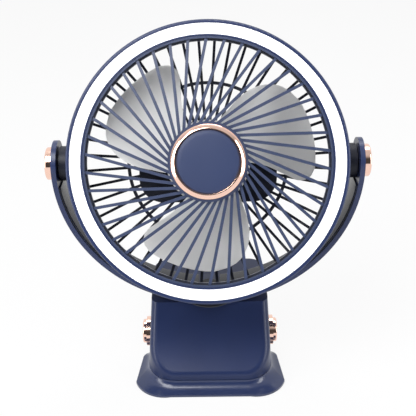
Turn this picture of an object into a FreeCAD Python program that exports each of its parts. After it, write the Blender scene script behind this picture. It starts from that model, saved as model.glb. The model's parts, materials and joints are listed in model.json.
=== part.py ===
import FreeCAD, Part
import math
import os
import re

V = FreeCAD.Vector

# Portable clip fan with a ring light, in millimetres.
# Origin on the table under the swivel axis, +Z up, the fan faces -Y.
# Head pieces are drawn upright round the tilt axis and then leaned back to their rest angle.
# A text that starts with = is a formula: that size follows from others.

SIZES = {
    # whole fan
    "lean": 25.0, "gap": 0.3, "running_fit": 0.08,
    # light ring
    "ring_radius": 95.0, "ring_front": -22.0, "ring_depth": 14.0, "ring_back_wall": 2.2,
    "ring_wall": 2.5, "lens_width": 7.6, "lens_outer": "=ring_radius - ring_wall",
    "lens_inner": "=lens_outer - lens_width", "lens_wall": 1.0, "lens_thick": 2.0, "lens_recess": 0.4,
    "led_board_thick": 1.6, "led_count": 36, "led_size": 3.0, "ring_edge_round": 1.4,
    # front grille
    "seat_wall": 1.0, "grille_rim": 1.6, "grille_seat": "=lens_inner - seat_wall",
    "grille_inner": "=grille_seat - grille_rim", "front_spokes": 42, "spoke_width": 2.0,
    "spoke_depth": 2.4, "swirl_radius": 16.8, "dome_radius": 620.0, "dome_front": -26.2,
    "hub_plate_radius": 26.6, "hub_plate_thick": 3.0, "trim_outer": 25.0, "trim_inner": 21.2,
    "trim_height": 3.0, "cap_height": 2.2, "cap_round": 0.7,
    # rear grille
    "cage_inset": 3.0, "cage_wall": 2.4, "cage_back": 24.4, "cage_corner": 16.0,
    "rear_spokes": 48, "rear_ring_radius": 57.0, "rear_ring_width": 2.2, "flange_width": 8.0,
    "flange_thick": 2.0, "boss_radius": 12.0, "boss_gap": 1.2, "boss_patch": 13.0, "ring_screws": 6,
    "ring_screw_inset": 7.8, "ring_screw_radius": 1.1, "ring_screw_head": 1.9,
    # rear pod
    "pod_width": 99.0, "pod_height": 58.0, "pod_corner": 17.4, "pod_depth": 26.0, "pod_wall": 2.2,
    "pod_lid_thick": 3.0, "pod_lid_lip": 3.0, "board_width": 62.0, "board_height": 36.0,
    "board_thick": 1.6, "board_gap": 5.0, "button_radius": 6.5, "button_spacing": 15.0,
    "button_stand": 1.4, "pod_screw_inset": 10.0, "post_radius": 3.4, "button_travel": 0.8,
    "switch_size": 6.0,
    # motor and impeller
    "hub_radius": 28.6, "hub_wall": 2.0, "hub_front": -16.0, "hub_depth": 28.0,
    "blade_clearance": 5.5, "blade_tip": "=grille_inner - blade_clearance",
    "blade_thick": 1.8, "blade_count": 3, "blade_pitch_root": 24.0,
    "blade_pitch_tip": 14.0, "blade_mid": 1.5, "rotor_wall": 1.8, "magnet_wall": 2.0,
    "air_gap": 0.8, "stator_poles": 9, "stator_front": -6.0, "stator_depth": 14.0,
    "pole_width": 2.6, "coil_wall": 1.5, "shaft_radius": 1.5, "shaft_front": -19.5,
    "bearing_radius": 4.0, "bearing_width": 4.0, "tube_radius": 5.6, "base_radius": 24.0,
    "base_thick": 2.4,
    # yoke
    "head_clearance": 11.0, "yoke_radius": "=ring_radius + head_clearance",
    "hoop_height": 59.0, "pivot_height": "=yoke_radius + hoop_height",
    "yoke_thick": 3.4, "yoke_width": 32.0, "liner_width": 23.0,
    "liner_thick": 1.2, "liner_start": 12.0, "washer_radius": 9.0, "axle_radius": 4.0,
    "pivot_cap_radius": 11.4, "pivot_cap_thick": 5.2, "cap_edge": 1.2,
    # swivel
    "saddle_radius": 22.0, "saddle_drop": 1.0, "swivel_washer_radius": 20.0,
    "swivel_washer_thick": 0.6, "bolt_radius": 4.0, "bolt_head_radius": 7.0,
    "bolt_head_thick": 2.4, "nut_radius": 6.5, "nut_thick": 3.5,
    # upper jaw
    "jaw_bottom": 9.5, "jaw_half_low": 45.5, "jaw_half_top": 43.0, "jaw_front": -42.0,
    "jaw_back": 46.0, "jaw_corner": 20.0, "jaw_back_corner": 12.0, "jaw_wall": 2.6,
    "lip_top": 14.6, "face_top": -13.0, "face_mid_y": -25.5, "face_mid_z": 34.5,
    "face_round": 6.0, "bay_drop": 25.9, "floor_thick": 2.0, "pad_thick": 2.0,
    "cell_radius": 9.2, "cell_length": 65.0, "cell_y": 13.5,
    "cell_pitch": 18.6, "holder_wall": 1.4, "port_width": 9.0, "port_height": 3.3,
    # clamp hinge
    "hinge_y": 5.0, "hinge_z": 18.5, "hinge_wrap": 9.0, "handle_slope": 35.0,
    "hinge_pin": 3.0, "lug_x": 36.0, "lug_thick": 4.0, "lug_radius": 8.0,
    "clamp_cap_radius": 11.3, "clamp_cap_thick": 5.9, "spring_radius": 4.1, "wire_radius": 0.8,
    "spring_turns": 5.0, "spring_pitch": 2.1, "spring_x": 18.0,
    # foot
    "foot_half_front": 54.8, "foot_half_back": 51.6, "foot_front": -50.0, "foot_flare_back": -1.0,
    "foot_corner_x": 26.0, "foot_corner_y": 15.0, "foot_lift": 0.8, "foot_rim": 2.6,
    "foot_deck": 9.0, "deck_half": 44.5, "deck_back": 46.0, "sole_half": 41.0,
    "sole_front": -34.0, "sole_back": 42.0, "sole_corner": 10.0, "sole_thick": 2.0, "cavity_half": 38.0,
    "cavity_front": -28.0, "cavity_back": 38.0, "cavity_top": 6.4, "cover_thick": 1.7,
    "screw_radius": 1.5, "screw_head": 2.8,
}

doc = FreeCAD.newDocument("clip_fan")
sheet = doc.addObject("Spreadsheet::Sheet", "Sizes")
for row, (alias, number) in enumerate(SIZES.items(), start=1):
    sheet.set("A%d" % row, alias)
    sheet.set("B%d" % row, str(number))
    sheet.setAlias("B%d" % row, alias)
doc.recompute()

nodes = []


def size(alias):
    return float(sheet.get(alias))


def bind(thing, prop, text):
    """Ties a property to the sheet: every alias in the text becomes a cell of the sheet."""
    thing.setExpression(prop, re.sub(r"[a-z][a-z0-9_]+", lambda m: "Sizes." + m.group(0), text))


def bind_base(thing, x, y, z):
    for axis, text in zip("xyz", (x, y, z)):
        bind(thing, ".Placement.Base." + axis, text)


# Primitives whose sizes are bound to the sheet

TURNS = {"X": (V(0, 1, 0), 90), "Y": (V(1, 0, 0), -90), "Z": (V(0, 0, 1), 0)}


def rod(name, axis, radius, length, x="0", y="0", z="0"):
    thing = doc.addObject("Part::Cylinder", name)
    turn_axis, angle = TURNS[axis]
    thing.Placement = FreeCAD.Placement(V(0, 0, 0), FreeCAD.Rotation(turn_axis, angle))
    bind(thing, "Radius", radius)
    bind(thing, "Height", length)
    bind_base(thing, x, y, z)
    return thing


def block(name, length, width, height, x="0", y="0", z="0"):
    thing = doc.addObject("Part::Box", name)
    bind(thing, "Length", length)
    bind(thing, "Width", width)
    bind(thing, "Height", height)
    bind_base(thing, x, y, z)
    return thing


def cut(name, base, tool):
    thing = doc.addObject("Part::Cut", name)
    thing.Base = base
    thing.Tool = tool
    return thing


def fuse(name, things):
    thing = doc.addObject("Part::MultiFuse", name)
    thing.Shapes = things
    return thing


def tube(name, axis, outer, inner, length, x="0", y="0", z="0"):
    return cut(name, rod(name + "_outer", axis, outer, length, x, y, z),
               rod(name + "_bore", axis, inner, length, x, y, z))


def made(name, shape):
    """Holds a shape that has no primitive; its sizes are read from the sheet."""
    thing = doc.addObject("Part::Feature", name)
    thing.Shape = shape
    return thing


def group(name, things):
    thing = doc.addObject("Part::Compound", name)
    thing.Links = things
    return thing


def keep(label, thing, in_head=False):
    """Makes the named sub-part, leaned back with the head where it belongs to it."""
    final = group(label, [thing]) if in_head else thing
    if in_head:
        final.Placement = FreeCAD.Placement(V(0, 0, 0), FreeCAD.Rotation(V(-1, 0, 0), 1))
        bind(final, ".Placement.Base.z", "pivot_height")
        bind(final, ".Placement.Rotation.Angle", "lean")
    final.Label = label
    nodes.append(final)
    return final


# Shapes drawn with sizes from the sheet

def polar(radius, degrees, y=0.0):
    angle = math.radians(degrees)
    return V(radius * math.cos(angle), y, radius * math.sin(angle))


def arc(a, b, c):
    return Part.Arc(a, b, c).toShape()


def line(a, b):
    return Part.makeLine(a, b)


def revolved(edges):
    """Turns a closed outline in the XY plane round the Y axis."""
    return Part.Face(Part.Wire(edges)).revolve(V(0, 0, 0), V(0, 1, 0), 360)


def loop_edges(points):
    return [line(a, b) for a, b in zip(points, points[1:] + points[:1])]


def rounded_plate(width, height, corner, y0, depth):
    """A rounded rectangle facing along Y, centred on the head axis."""
    w, t = width / 2, height / 2
    k = corner * (1 - math.sqrt(0.5))
    edges = []
    for sx, sz in ((1, 1), (-1, 1), (-1, -1), (1, -1)):
        a = V(sx * w, y0, sz * (t - corner))
        m = V(sx * (w - k), y0, sz * (t - k))
        b = V(sx * (w - corner), y0, sz * t)
        edges.append((a, m, b) if sx * sz > 0 else (b, m, a))
    parts = []
    for i, (a, m, b) in enumerate(edges):
        parts.append(arc(a, m, b))
        parts.append(line(b, edges[(i + 1) % 4][0]))
    return Part.Face(Part.Wire(parts)).extrude(V(0, depth, 0))


def filleted(shape, radius, test):
    edges = [e for e in shape.Edges if test(e)]
    return shape.makeFillet(radius, edges) if edges else shape


def at_level(axis, level, tolerance=0.01):
    """Picks the edges that lie wholly at one level along an axis."""
    def test(edge):
        box = edge.BoundBox
        low, high = {"X": (box.XMin, box.XMax), "Y": (box.YMin, box.YMax),
                     "Z": (box.ZMin, box.ZMax)}[axis]
        return abs(low - level) < tolerance and abs(high - level) < tolerance
    return test


# Light ring

def light_ring():
    front, back = size("ring_front"), size("ring_front") + size("ring_depth")
    floor = back - size("ring_back_wall")
    body = revolved(loop_edges([
        V(size("ring_radius"), front, 0), V(size("ring_radius"), back, 0),
        V(size("grille_inner"), back, 0), V(size("grille_inner"), floor, 0),
        V(size("grille_seat"), floor, 0), V(size("grille_seat"), front, 0),
        V(size("lens_inner"), front, 0), V(size("lens_inner"), floor, 0),
        V(size("lens_outer"), floor, 0), V(size("lens_outer"), front, 0)]))
    outer = [e for e in body.Edges if at_level("Y", front)(e)
             and abs(e.BoundBox.XMax - size("ring_radius")) < 0.01]
    body = body.makeFillet(size("ring_edge_round"), outer)
    screws = ring_screws(back)
    body = body.cut(screws)
    keep("ring_screws", made("flange_screws", screws), True)
    keep("light_ring_housing", made("ring_housing", body), True)

    gap = size("gap") / 2
    lens_front = front + size("lens_recess")
    board = floor - size("led_board_thick")
    wall, thick = size("lens_wall"), size("lens_thick")
    r_out, r_in = size("lens_outer") - gap, size("lens_inner") + gap
    lens = revolved(loop_edges([
        V(r_out, lens_front, 0), V(r_out, board, 0), V(r_out - wall, board, 0),
        V(r_out - wall, lens_front + thick, 0), V(r_in + wall, lens_front + thick, 0),
        V(r_in + wall, board, 0), V(r_in, board, 0), V(r_in, lens_front, 0)]))
    keep("light_diffuser", made("diffuser", lens), True)

    keep("light_board", tube("led_ring", "Y", "lens_outer - gap", "lens_inner + gap",
                             "led_board_thick",
                             y="ring_front + ring_depth - ring_back_wall - led_board_thick"), True)
    chips = []
    middle = (size("lens_outer") + size("lens_inner")) / 2
    side = size("led_size")
    chip = Part.makeBox(side, side / 4, side, V(middle - side / 2, board - side / 4, -side / 2))
    count = int(size("led_count"))
    for i in range(count):
        turned = chip.copy()
        turned.rotate(V(0, 0, 0), V(0, 1, 0), 360.0 * i / count)
        chips.append(turned)
    keep("light_chips", made("led_chips", Part.makeCompound(chips)), True)


# Front grille with its hub trim

def dome_shell(front, thick, r_in, r_out):
    """A shallow dome whose crown is at the front, from one radius to another."""
    big = size("dome_radius")
    centre = front + big

    def on(radius, r):
        return V(r, centre - math.sqrt(radius * radius - r * r), 0)
    low = big - thick
    mid = (r_in + r_out) / 2
    return revolved([arc(on(big, r_in), on(big, mid), on(big, r_out)),
                     line(on(big, r_out), on(low, r_out)),
                     arc(on(low, r_out), on(low, mid), on(low, r_in)),
                     line(on(low, r_in), on(big, r_in))])


def front_grille():
    ring = size("ring_front")
    seat = size("grille_seat") - 0.1
    floor = ring + size("ring_depth") - size("ring_back_wall")
    rim = revolved(loop_edges([V(seat, ring + 0.4, 0), V(seat, floor, 0),
                               V(size("grille_inner"), floor, 0),
                               V(size("grille_inner"), ring + 0.4, 0)]))
    plate_back = size("dome_front") + 1.6
    plate = Part.makeCylinder(size("hub_plate_radius"), size("hub_plate_thick"),
                              V(0, plate_back - size("hub_plate_thick"), 0), V(0, 1, 0))
    shell = dome_shell(size("dome_front"), size("spoke_depth"),
                       size("hub_plate_radius") - 2, seat - 0.2)
    width, offset = size("spoke_width"), size("swirl_radius")
    inner = math.sqrt((size("hub_plate_radius") - 1) ** 2 - offset ** 2)
    outer = math.sqrt((seat - 0.2) ** 2 - offset ** 2)
    count = int(size("front_spokes"))
    bars = []
    for i in range(count):
        bar = Part.makeBox(outer - inner + 2, 30, width,
                           V(inner, size("dome_front") - 5, offset - width / 2))
        turn = 90 - math.degrees(math.atan2(offset, outer)) + 360.0 * i / count
        bar.rotate(V(0, 0, 0), V(0, -1, 0), turn)
        bars.append(bar)
    spokes = shell.common(Part.makeCompound(bars))
    grille = rim.fuse([plate] + spokes.Solids)
    keep("front_grille", made("swirl_grille", grille), True)

    front = plate_back - size("hub_plate_thick")
    trim = Part.makeCylinder(size("trim_outer"), size("trim_height"),
                             V(0, front - size("trim_height"), 0), V(0, 1, 0))
    trim = trim.cut(Part.makeCylinder(size("trim_inner"), size("trim_height"),
                                      V(0, front - size("trim_height"), 0), V(0, 1, 0)))
    trim = filleted(trim, size("cap_edge"), at_level("Y", front - size("trim_height")))
    keep("hub_trim_ring", made("trim_ring", trim), True)
    cap = Part.makeCylinder(size("trim_inner") - 0.1, size("cap_height"),
                            V(0, front - size("cap_height"), 0), V(0, 1, 0))
    cap = filleted(cap, size("cap_round"), at_level("Y", front - size("cap_height")))
    keep("hub_cap", made("cap_disc", cap), True)


# Rear grille, a cage of radial bars that turns forward to meet the light ring

def cage_radius():
    return size("ring_radius") - size("cage_inset")


def boss_face():
    return size("yoke_radius") - size("yoke_thick") - size("boss_gap")


def boss_start():
    return cage_radius() - 1.2 * size("cage_wall")


def round_the_head(shape, count, first=0.0):
    """Copies of a shape spaced evenly round the head axis."""
    copies = []
    for i in range(count):
        turned = shape.copy()
        turned.rotate(V(0, 0, 0), V(0, -1, 0), first + 360.0 * i / count)
        copies.append(turned)
    return copies


def cage_shell():
    r, wall, back = cage_radius(), size("cage_wall"), size("cage_back")
    start = size("ring_front") + size("ring_depth")
    bend, k = size("cage_corner"), 1 - math.sqrt(0.5)
    r_in = size("pod_height") / 2 - 4

    def corner(grow):
        radius = bend - grow
        centre_r, centre_y = r - bend, back - bend
        return (V(centre_r + radius, centre_y, 0),
                V(centre_r + radius * (1 - k), centre_y + radius * (1 - k), 0),
                V(centre_r, centre_y + radius, 0))
    oa, om, ob = corner(0)
    ia, im, ib = corner(wall)
    return revolved([line(V(r, start, 0), oa), arc(oa, om, ob), line(ob, V(r_in, back, 0)),
                     line(V(r_in, back, 0), V(r_in, back - wall, 0)),
                     line(V(r_in, back - wall, 0), ib), arc(ib, im, ia),
                     line(ia, V(r - wall, start, 0)), line(V(r - wall, start, 0), V(r, start, 0))])


def ring_screws(start):
    """Small screws that hold the cage's flange to the back of the light ring."""
    seat = start + size("flange_thick")
    radius = size("ring_radius") - size("ring_screw_inset")
    length = size("flange_thick") + size("ring_back_wall")
    shank = Part.makeCylinder(size("ring_screw_radius"), length, V(radius, seat - length, 0), V(0, 1, 0))
    head = Part.makeCylinder(size("ring_screw_head"), 1.2, V(radius, seat, 0), V(0, 1, 0))
    count = int(size("ring_screws"))
    return Part.makeCompound(round_the_head(shank.fuse(head), count, 180.0 / count))


def rear_grille():
    start = size("ring_front") + size("ring_depth")
    back, wall, width = size("cage_back"), size("cage_wall"), size("spoke_width")
    shell = cage_shell()
    count = int(size("rear_spokes"))
    bars = []
    for i in range(count):
        bar = Part.makeBox(cage_radius(), 60, width, V(20, start, -width / 2))
        bar.rotate(V(0, 0, 0), V(0, -1, 0), 360.0 * (i + 0.5) / count)
        bars.append(bar)
    bars = shell.common(Part.makeCompound(bars)).Solids
    patch = size("boss_patch")
    sides = shell.common(Part.makeBox(2.4 * cage_radius(), patch - start, 2 * patch,
                                      V(-1.2 * cage_radius(), start, -patch))).Solids
    outer = cage_radius()
    flange = revolved(loop_edges([V(outer + 1, start, 0), V(outer + 1, start + size("flange_thick"), 0),
                                  V(outer + 1 - size("flange_width"), start + size("flange_thick"), 0),
                                  V(outer + 1 - size("flange_width"), start, 0)]))
    middle, half = size("rear_ring_radius"), size("rear_ring_width") / 2
    hoop = revolved(loop_edges([V(middle - half, back - wall, 0), V(middle + half, back - wall, 0),
                                V(middle + half, back, 0), V(middle - half, back, 0)]))
    plate = rounded_plate(size("pod_width"), size("pod_height"), size("pod_corner"),
                          back - wall, wall)
    plate = plate.cut(Part.makeCylinder(size("tube_radius") - 1, wall, V(0, back - wall, 0), V(0, 1, 0)))
    solids = bars + sides + [flange, hoop, plate]
    for side in (1, -1):
        boss = Part.makeCylinder(size("boss_radius"), boss_face() - boss_start(),
                                 V(side * boss_start(), 0, 0), V(side, 0, 0))
        solids.append(boss)
    cage = solids[0].fuse(solids[1:])
    for side in (1, -1):
        bore = Part.makeCylinder(size("axle_radius"), boss_face(),
                                 V(side * (boss_start() - 1), 0, 0), V(side, 0, 0))
        cage = cage.cut(bore)
    ring_space = Part.makeCylinder(size("ring_radius") + 0.2, size("ring_depth"),
                                   V(0, size("ring_front"), 0), V(0, 1, 0))
    cage = cage.cut(ring_space).cut(ring_screws(start))
    keep("rear_grille", made("cage", cage), True)


# Rear pod with its board and two buttons

def rear_pod():
    start, depth, wall = size("cage_back"), size("pod_depth"), size("pod_wall")
    w, t, c = size("pod_width"), size("pod_height"), size("pod_corner")
    shell = rounded_plate(w, t, c, start, depth)
    shell = shell.cut(rounded_plate(w - 2 * wall, t - 2 * wall, c - wall, start + wall, depth))
    back = start + depth
    posts = []
    for sx in (1, -1):
        for sz in (1, -1):
            posts.append((sx * (w / 2 - size("pod_screw_inset")),
                          sz * (t / 2 - size("pod_screw_inset"))))
    post_end = back - size("pod_lid_lip")
    columns = [Part.makeCylinder(size("post_radius"), post_end - start - wall, V(x, start + wall, z),
                                 V(0, 1, 0)) for x, z in posts]
    face = back + size("pod_lid_thick")
    screws = []
    for x, z in posts:
        shank = Part.makeCylinder(size("screw_radius"), depth / 2,
                                  V(x, face - 1.4 - depth / 2, z), V(0, 1, 0))
        head = Part.makeCylinder(size("screw_head"), 1.4, V(x, face - 1.6, z), V(0, 1, 0))
        screws.append(shank.fuse(head))
    screws = Part.makeCompound(screws)
    keep("pod_shell", made("pod_case", shell.fuse(columns).cut(screws)), True)
    keep("pod_screws", made("lid_screws", screws), True)

    lid = rounded_plate(w, t, c, back, size("pod_lid_thick"))
    lid = filleted(lid, 2.0, at_level("Y", back + size("pod_lid_thick")))
    inset = wall + 0.15
    lip = rounded_plate(w - 2 * inset, t - 2 * inset, c - inset, back - size("pod_lid_lip"),
                        size("pod_lid_lip"))
    lip = lip.cut(rounded_plate(w - 2 * inset - 3, t - 2 * inset - 3, c - inset - 1.5,
                                back - size("pod_lid_lip"), size("pod_lid_lip")))
    sleeves = [Part.makeCylinder(size("screw_head"), size("pod_lid_lip"), V(x, post_end, z), V(0, 1, 0))
               for x, z in posts]
    lid = lid.fuse([lip] + sleeves).cut(screws)
    for x, z in posts:
        lid = lid.cut(Part.makeCylinder(size("screw_head") + 0.1, 2.0, V(x, face - 1.6, z), V(0, 1, 0)))
    for side in (1, -1):
        hole = Part.makeCylinder(size("button_radius") + size("gap"), 20,
                                 V(side * size("button_spacing"), back - 5, 0), V(0, 1, 0))
        lid = lid.cut(hole)
    keep("pod_lid", made("pod_back", lid), True)

    board_y = "cage_back + pod_depth - pod_lid_lip - board_gap"
    board = block("control", "board_width", "board_thick", "board_height",
                  "-board_width / 2", board_y, "-board_height / 2")
    keep("control_board", board, True)
    posts = []
    for sx in (1, -1):
        for sz in (1, -1):
            x = sx * (size("board_width") / 2 - 4)
            z = sz * (size("board_height") / 2 - 4)
            length = size("pod_depth") - size("pod_lid_lip") - size("board_gap") - wall
            posts.append(Part.makeCylinder(2.5, length, V(x, start + wall, z), V(0, 1, 0)))
    keep("board_posts", made("posts", Part.makeCompound(posts)), True)

    face = start + depth - size("pod_lid_lip") - size("board_gap") + size("board_thick")
    top = back + size("pod_lid_thick")
    switches = []
    for side, label in ((-1, "fan_button"), (1, "light_button")):
        x = side * size("button_spacing")
        half = size("switch_size") / 2
        switches.append(Part.makeBox(2 * half, 3.0, 2 * half, V(x - half, face, -half)))
        rest = face + 3.0 + size("button_travel") + 0.2
        key = Part.makeCylinder(size("button_radius"), top + size("button_stand") - back + 1.0,
                                V(x, back - 1.0, 0), V(0, 1, 0))
        key = filleted(key, 0.9, at_level("Y", top + size("button_stand")))
        stem = Part.makeCylinder(2.0, back - 1.0 - rest, V(x, rest, 0), V(0, 1, 0))
        flange = Part.makeCylinder(size("button_radius") + 1.2, 1.0, V(x, back - 1.0, 0), V(0, 1, 0))
        keep(label, made(label + "_key", key.fuse([stem, flange])), True)
    keep("tact_switches", made("switches", Part.makeCompound(switches)), True)


# Motor: fixed stator round a bearing tube, and the rotor inside the impeller hub

def motor():
    back = size("cage_back") - size("cage_wall")
    tube_front = size("stator_front") - 3.0
    base = Part.makeCylinder(size("base_radius"), size("base_thick"),
                             V(0, back - size("base_thick"), 0), V(0, 1, 0))
    stem = Part.makeCylinder(size("tube_radius"), back - size("base_thick") - tube_front,
                             V(0, tube_front, 0), V(0, 1, 0))
    bore = Part.makeCylinder(size("bearing_radius"), 60, V(0, tube_front - 1, 0), V(0, 1, 0))
    keep("motor_mount", made("bearing_tube", base.fuse(stem).cut(bore)), True)

    width = size("bearing_width")
    seats = (tube_front, back - width)
    rings = []
    for y in seats:
        ring = Part.makeCylinder(size("bearing_radius"), width, V(0, y, 0), V(0, 1, 0))
        rings.append(ring.cut(Part.makeCylinder(size("shaft_radius") + size("running_fit"), width,
                                                V(0, y, 0), V(0, 1, 0))))
    keep("motor_bearings", made("bearings", Part.makeCompound(rings)), True)

    outer = size("hub_radius") - size("hub_wall") - size("rotor_wall") - size("magnet_wall") - size("air_gap")
    front, depth = size("stator_front"), size("stator_depth")
    hub_r, poles, width = size("tube_radius") + 3.4, int(size("stator_poles")), size("pole_width")
    core = Part.makeCylinder(hub_r, depth, V(0, front, 0), V(0, 1, 0))
    face_ring = Part.makeCylinder(outer, depth, V(0, front, 0), V(0, 1, 0))
    face_ring = face_ring.cut(Part.makeCylinder(outer - 2, depth, V(0, front, 0), V(0, 1, 0)))
    coils, arms, slots = [], [], []
    coil_w = width + 2 * size("coil_wall")
    for i in range(poles):
        turn = 360.0 * i / poles
        arm = Part.makeBox(outer - hub_r, depth, width, V(hub_r - 1, front, -width / 2))
        coil = Part.makeBox(outer - 3 - hub_r - 1, depth + 3, coil_w,
                            V(hub_r + 0.8, front - 1.5, -coil_w / 2))
        coil = coil.cut(Part.makeBox(outer, depth, width, V(hub_r - 1, front, -width / 2)))
        slot = Part.makeBox(6, depth, 1.6, V(outer - 4, front, -0.8))
        slot.rotate(V(0, 0, 0), V(0, 1, 0), 180.0 / poles)
        for piece, pile in ((arm, arms), (coil, coils), (slot, slots)):
            piece.rotate(V(0, 0, 0), V(0, 1, 0), turn)
            pile.append(piece)
    stator = core.fuse([face_ring.cut(Part.makeCompound(slots))] + arms)
    stator = stator.cut(Part.makeCylinder(size("tube_radius"), depth, V(0, front, 0), V(0, 1, 0)))
    keep("stator_core", made("stator", stator), True)
    keep("stator_windings", made("windings", Part.makeCompound(coils)), True)

    keep("rotor_ring", tube("rotor", "Y", "hub_radius - hub_wall",
                            "hub_radius - hub_wall - rotor_wall", "stator_depth + 2",
                            y="stator_front - 1"), True)
    keep("magnet_ring", tube("magnets", "Y", "hub_radius - hub_wall - rotor_wall",
                             "hub_radius - hub_wall - rotor_wall - magnet_wall", "stator_depth",
                             y="stator_front"), True)
    keep("motor_shaft", rod("shaft", "Y", "shaft_radius",
                            "cage_back - cage_wall - shaft_front", y="shaft_front"), True)


def blade():
    """One wide paddle: a twisted plate trimmed by the paddle's outline seen from the front."""
    thick, mid = size("blade_thick"), size("blade_mid")
    r_in, r_out = size("hub_radius") - 6, size("blade_tip") + 8
    half = r_out
    sections = []
    for radius, pitch in ((r_in, size("blade_pitch_root")), (r_out, size("blade_pitch_tip"))):
        a = math.radians(pitch)
        along, across = V(0, -math.sin(a), math.cos(a)), V(0, math.cos(a), math.sin(a))
        centre = V(radius, mid, 0)
        corners = [centre + along * (sx * half) + across * (sy * thick / 2)
                   for sx, sy in ((1, 1), (-1, 1), (-1, -1), (1, -1))]
        sections.append(Part.makePolygon(corners + corners[:1]))
    plate = Part.makeLoft(sections, True, True)
    tip = size("blade_tip")
    y0 = -60
    lead_root, lead_out = polar(0.34 * tip, -29, y0), polar(0.885 * tip, -42, y0)
    tip_a, tip_b = polar(tip, -34, y0), polar(tip, 5, y0)
    shoulder = polar(0.972 * tip, -40, y0)
    trail_mid, trail_root = polar(0.86 * tip, 21, y0), polar(0.34 * tip, 46, y0)
    outline = Part.Wire([line(lead_root, lead_out), arc(lead_out, shoulder, tip_a),
                         arc(tip_a, polar(tip, -15, y0), tip_b),
                         arc(tip_b, trail_mid, trail_root), line(trail_root, lead_root)])
    prism = Part.Face(outline).extrude(V(0, 120, 0))
    trimmed = plate.common(prism)
    inner = Part.makeCylinder(size("hub_radius") - 1, 120, V(0, -60, 0), V(0, 1, 0))
    return trimmed.cut(inner)


def impeller():
    front, depth, r = size("hub_front"), size("hub_depth"), size("hub_radius")
    wall = size("hub_wall")
    cup = Part.makeCylinder(r, depth, V(0, front, 0), V(0, 1, 0))
    cup = filleted(cup, 2.5, at_level("Y", front))
    cup = cup.cut(Part.makeCylinder(r - wall, depth, V(0, front + wall, 0), V(0, 1, 0)))
    boss = Part.makeCylinder(4.2, 5.0, V(0, front + wall - 1, 0), V(0, 1, 0))
    solids = [boss]
    paddle = blade()
    count = int(size("blade_count"))
    for i in range(count):
        turned = paddle.copy()
        turned.rotate(V(0, 0, 0), V(0, -1, 0), 150 + 360.0 * i / count)
        solids.extend(turned.Solids)
    fan = cup.fuse(solids)
    fan = fan.cut(Part.makeCylinder(size("shaft_radius"), 60, V(0, -40, 0), V(0, 1, 0)))
    keep("impeller", made("blades", fan), True)
    nut = Part.makeCylinder(4.5, 2.6, V(0, front - 2.6, 0), V(0, 1, 0))
    nut = nut.cut(Part.makeCylinder(size("shaft_radius"), 2.6, V(0, front - 2.6, 0), V(0, 1, 0)))
    keep("impeller_nut", made("nut", nut), True)


# Yoke: a half hoop with rounded arm ends, its liner, pivots and caps

def yoke():
    top = size("pivot_height")
    r, wall, w = size("yoke_radius"), size("yoke_thick"), size("yoke_width")
    centre = V(0, -w / 2, top)
    hoop = Part.makeCylinder(r, w, centre, V(0, 1, 0))
    hoop = hoop.cut(Part.makeCylinder(r - wall, w, centre, V(0, 1, 0)))
    hoop = hoop.common(Part.makeBox(2 * r, w, r, V(-r, -w / 2, top - r)))
    arms = []
    for side in (1, -1):
        x = side * (r - wall) if side > 0 else -r
        tab = Part.makeBox(wall, w, 0.01, V(x, -w / 2, top - 0.01))
        end = Part.makeCylinder(w / 2, wall, V(x, 0, top), V(1, 0, 0))
        end = end.common(Part.makeBox(wall, w, w, V(x, -w / 2, top)))
        arms.extend([tab, end])
    strap = hoop.fuse(arms).removeSplitter()
    for side in (1, -1):
        strap = strap.cut(Part.makeCylinder(size("axle_radius") + size("running_fit"), 3 * wall,
                                            V(side * (r - 2 * wall), 0, top), V(side, 0, 0)))
    strap = strap.cut(Part.makeCylinder(size("bolt_radius"), 30, V(0, 0, top - r - 10), V(0, 0, 1)))
    keep("yoke_strap", made("strap", strap))

    r_in = r - wall
    thin, half = size("liner_thick"), size("liner_width") / 2
    liner = Part.makeCylinder(r_in, 2 * half, V(0, -half, top), V(0, 1, 0))
    liner = liner.cut(Part.makeCylinder(r_in - thin, 2 * half, V(0, -half, top), V(0, 1, 0)))
    drop = r_in * math.sin(math.radians(size("liner_start")))
    liner = liner.common(Part.makeBox(2 * r, 2 * half, r, V(-r, -half, top - drop - r)))
    liner = liner.cut(Part.makeCylinder(size("bolt_head_radius") + size("gap"), 40,
                                        V(0, 0, top - r - 5), V(0, 0, 1)))
    keep("yoke_liner", made("liner", liner))

    for side, tag in ((-1, "left"), (1, "right")):
        x, sunk = side * r, 1.2
        cap = Part.makeCylinder(size("pivot_cap_radius"), size("pivot_cap_thick") + sunk,
                                V(x - side * sunk, 0, top), V(side, 0, 0))
        cap = filleted(cap, size("cap_edge"), at_level("X", x + side * size("pivot_cap_thick")))
        hole = Part.makeCylinder(size("axle_radius") + size("gap"), sunk,
                                 V(x - side * sunk, 0, top), V(side, 0, 0))
        cap = cap.cut(strap).cut(hole)
        keep("pivot_cap_" + tag, made("pivot_cover_" + tag, cap))

        reach = math.sqrt(r_in ** 2 - size("washer_radius") ** 2)
        washer = Part.makeCylinder(size("washer_radius"), reach - boss_face(),
                                   V(side * boss_face(), 0, top), V(side, 0, 0))
        washer = washer.cut(Part.makeCylinder(size("axle_radius") + size("running_fit"), 20,
                                              V(side * boss_start(), 0, top), V(side, 0, 0)))
        keep("friction_washer_" + tag, made("washer_" + tag, washer))
        keep("tilt_axle_" + tag, made("axle_" + tag, Part.makeCylinder(
            size("axle_radius"), r - boss_start() - 1,
            V(side * (boss_start() + 1), 0, 0), V(side, 0, 0))), True)


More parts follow.
